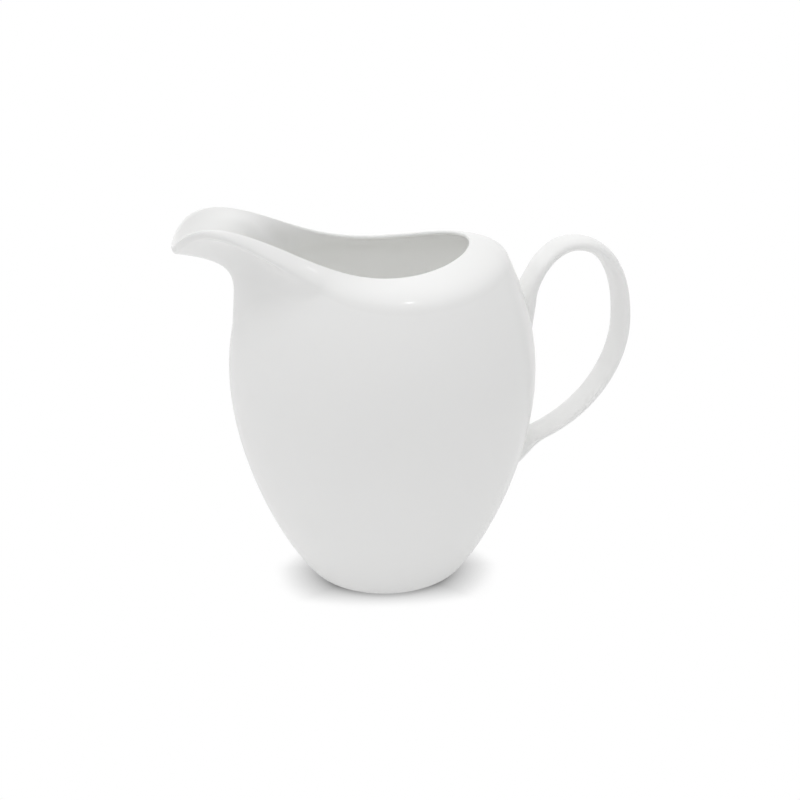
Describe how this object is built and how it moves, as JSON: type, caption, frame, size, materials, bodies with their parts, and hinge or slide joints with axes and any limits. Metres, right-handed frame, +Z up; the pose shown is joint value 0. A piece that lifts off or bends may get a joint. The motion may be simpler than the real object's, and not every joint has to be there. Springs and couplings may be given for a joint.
{
  "type": "water jug",
  "caption": "White glazed porcelain jug with an egg-shaped body, inward shoulder, wavy mouth with a broad pouring lip, and a strap handle for serving water.",
  "frame": {"origin": "on the floor the jug stands on, midway between the tip of the pouring lip and the back of the handle, in the jug's plane of symmetry", "axes": "+Z up, +X from the pouring lip towards the handle, +Y across the jug"},
  "size_m": [0.1912, 0.128, 0.1592],
  "materials": {
    "glazed_body": "clear gloss glaze over white porcelain",
    "glazed_handle": "clear gloss glaze over white porcelain",
    "glazed_slip": "clear gloss glaze over wiped porcelain slip"
  },
  "bodies": {
    "root": {"jug_body": "glazed_body", "handle": "glazed_handle", "upper_joint_slip": "glazed_slip", "lower_joint_slip": "glazed_slip"}
  },
  "joints": []
}
